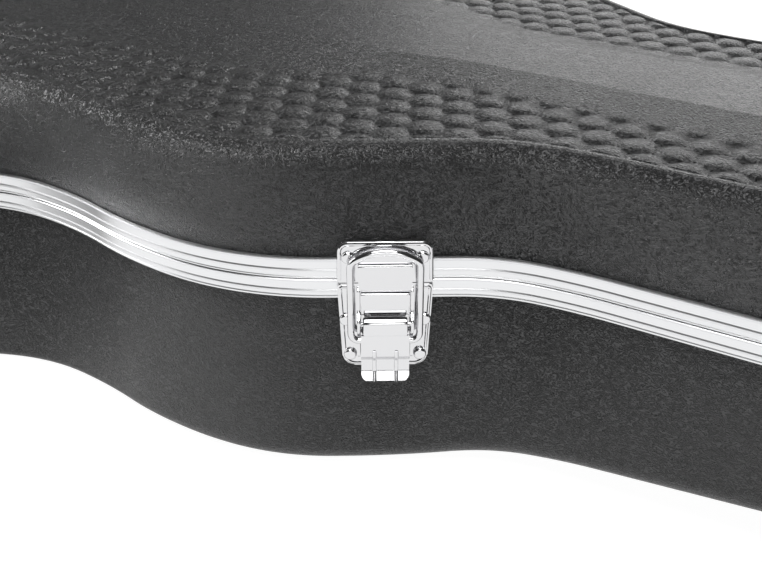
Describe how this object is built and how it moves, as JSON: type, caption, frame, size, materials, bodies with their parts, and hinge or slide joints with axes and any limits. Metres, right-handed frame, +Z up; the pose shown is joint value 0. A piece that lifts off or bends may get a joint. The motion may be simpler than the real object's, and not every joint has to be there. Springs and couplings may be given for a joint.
{
  "type": "guitar case",
  "caption": "Moulded black hard case for a large flat-top guitar, with a hinged scale-textured lid, two-part aluminium edge, draw latches, swinging handle and plush-lined inside.",
  "frame": {"origin": "on the flat bottom, on the centreline, at the waist of the body", "axes": "+X to the head end, -Y the side with the latches and the handle, +Z up through the lid"},
  "size_m": [1.0956, 0.4739, 0.164],
  "materials": {
    "shell_plastic": "satin",
    "valance_aluminium": "satin",
    "latch_chrome": "polished",
    "hinge_chrome": "polished",
    "handle_chrome": "polished",
    "bracket_plastic": "satin",
    "grip_plastic": "matte",
    "plush_lining": "matte",
    "tab_ribbon": "matte"
  },
  "bodies": {
    "base": {"base_shell": "shell_plastic", "base_valance": "valance_aluminium", "body_floor_pad": "plush_lining", "body_side_padding": "plush_lining", "pocket_box": "plush_lining", "pocket_side_walls": "plush_lining", "neck_trough": "plush_lining", "head_trough": "plush_lining", "neck_cradle": "plush_lining", "latch_rivets": "latch_chrome", "hinge_base_rivets": "hinge_chrome", "handle_bracket_rear": "bracket_plastic", "handle_bracket_front": "bracket_plastic", "handle_pins": "handle_chrome", "handle_rivets": "handle_chrome", "latch_tail_plate": "latch_chrome", "latch_tail_pin": "latch_chrome", "latch_bout_plate": "latch_chrome", "latch_bout_pin": "latch_chrome", "latch_shoulder_plate": "latch_chrome", "latch_shoulder_pin": "latch_chrome", "latch_neck_plate": "latch_chrome", "latch_neck_pin": "latch_chrome", "latch_head_plate": "latch_chrome", "latch_head_pin": "latch_chrome", "hinge_bout_base_leaf": "hinge_chrome", "hinge_bout_pin": "hinge_chrome", "hinge_shoulder_base_leaf": "hinge_chrome", "hinge_shoulder_pin": "hinge_chrome"},
    "lid": {"lid_shell": "shell_plastic", "lid_valance": "valance_aluminium", "lid_lining": "plush_lining", "keeper_rivets": "latch_chrome", "hinge_lid_rivets": "hinge_chrome", "latch_tail_keeper": "latch_chrome", "latch_bout_keeper": "latch_chrome", "latch_shoulder_keeper": "latch_chrome", "latch_neck_keeper": "latch_chrome", "latch_head_keeper": "latch_chrome", "hinge_bout_lid_leaf": "hinge_chrome", "hinge_shoulder_lid_leaf": "hinge_chrome"},
    "lever_tail": {"latch_tail_lever": "latch_chrome"},
    "bail_tail": {"latch_tail_bail": "latch_chrome"},
    "lever_bout": {"latch_bout_lever": "latch_chrome"},
    "bail_bout": {"latch_bout_bail": "latch_chrome"},
    "lever_shoulder": {"latch_shoulder_lever": "latch_chrome"},
    "bail_shoulder": {"latch_shoulder_bail": "latch_chrome"},
    "lever_neck": {"latch_neck_lever": "latch_chrome"},
    "bail_neck": {"latch_neck_bail": "latch_chrome"},
    "lever_head": {"latch_head_lever": "latch_chrome"},
    "bail_head": {"latch_head_bail": "latch_chrome"},
    "handle": {"handle_grip": "grip_plastic"},
    "flap": {"pocket_flap": "plush_lining", "flap_tab": "tab_ribbon"}
  },
  "joints": [
    {"name": "lid_hinge", "type": "hinge", "parent": "base", "child": "lid", "pos_m": [-0.15355, 0.2206, 0.1032], "axis": [-0.9866, 0.1633, 0], "range_deg": [0, 105]},
    {"name": "lever_tail_turn", "type": "hinge", "parent": "base", "child": "lever_tail", "pos_m": [-0.35349, -0.05588, 0.0844], "axis": [-0.1305, 0.9914, 0], "range_deg": [0, 145]},
    {"name": "bail_tail_turn", "type": "hinge", "parent": "lever_tail", "child": "bail_tail", "pos_m": [-0.35289, -0.05581, 0.0761], "axis": [-0.1305, 0.9914, 0], "range_deg": [-167, 0]},
    {"name": "lever_bout_turn", "type": "hinge", "parent": "base", "child": "lever_bout", "pos_m": [-0.26649, -0.20732, 0.0844], "axis": [-0.8788, 0.4772, 0], "range_deg": [0, 145]},
    {"name": "bail_bout_turn", "type": "hinge", "parent": "lever_bout", "child": "bail_bout", "pos_m": [-0.2662, -0.20679, 0.0761], "axis": [-0.8788, 0.4772, 0], "range_deg": [-167, 0]},
    {"name": "lever_shoulder_turn", "type": "hinge", "parent": "base", "child": "lever_shoulder", "pos_m": [0.18262, -0.13958, 0.0844], "axis": [-0.8339, -0.5519, 0], "range_deg": [0, 145]},
    {"name": "bail_shoulder_turn", "type": "hinge", "parent": "lever_shoulder", "child": "bail_shoulder", "pos_m": [0.18229, -0.13908, 0.0761], "axis": [-0.8339, -0.5519, 0], "range_deg": [-167, 0]},
    {"name": "lever_neck_turn", "type": "hinge", "parent": "base", "child": "lever_neck", "pos_m": [0.40755, -0.1035, 0.0844], "axis": [-0.9994, -0.0349, 0], "range_deg": [0, 145]},
    {"name": "bail_neck_turn", "type": "hinge", "parent": "lever_neck", "child": "bail_neck", "pos_m": [0.40753, -0.1029, 0.0761], "axis": [-0.9994, -0.0349, 0], "range_deg": [-167, 0]},
    {"name": "lever_head_turn", "type": "hinge", "parent": "base", "child": "lever_head", "pos_m": [0.73395, 0, 0.0844], "axis": [0, -1, 0], "range_deg": [0, 145]},
    {"name": "bail_head_turn", "type": "hinge", "parent": "lever_head", "child": "bail_head", "pos_m": [0.73335, 0, 0.0761], "axis": [0, -1, 0], "range_deg": [-167, 0]},
    {"name": "handle_swing", "type": "hinge", "parent": "base", "child": "handle", "pos_m": [-0.13129, -0.22278, 0.077], "axis": [-0.9682, -0.2502, 0], "range_deg": [0, 100]},
    {"name": "flap_hinge", "type": "hinge", "parent": "base", "child": "flap", "pos_m": [0.2905, 0, 0.0723], "axis": [0, 1, 0], "range_deg": [0, 90]}
  ],
  "couplings": [
    {"joint": "bail_tail_turn", "follows": "lever_tail_turn", "ratio": -1.15},
    {"joint": "bail_bout_turn", "follows": "lever_bout_turn", "ratio": -1.15},
    {"joint": "bail_shoulder_turn", "follows": "lever_shoulder_turn", "ratio": -1.15},
    {"joint": "bail_neck_turn", "follows": "lever_neck_turn", "ratio": -1.15},
    {"joint": "bail_head_turn", "follows": "lever_head_turn", "ratio": -1.15}
  ]
}
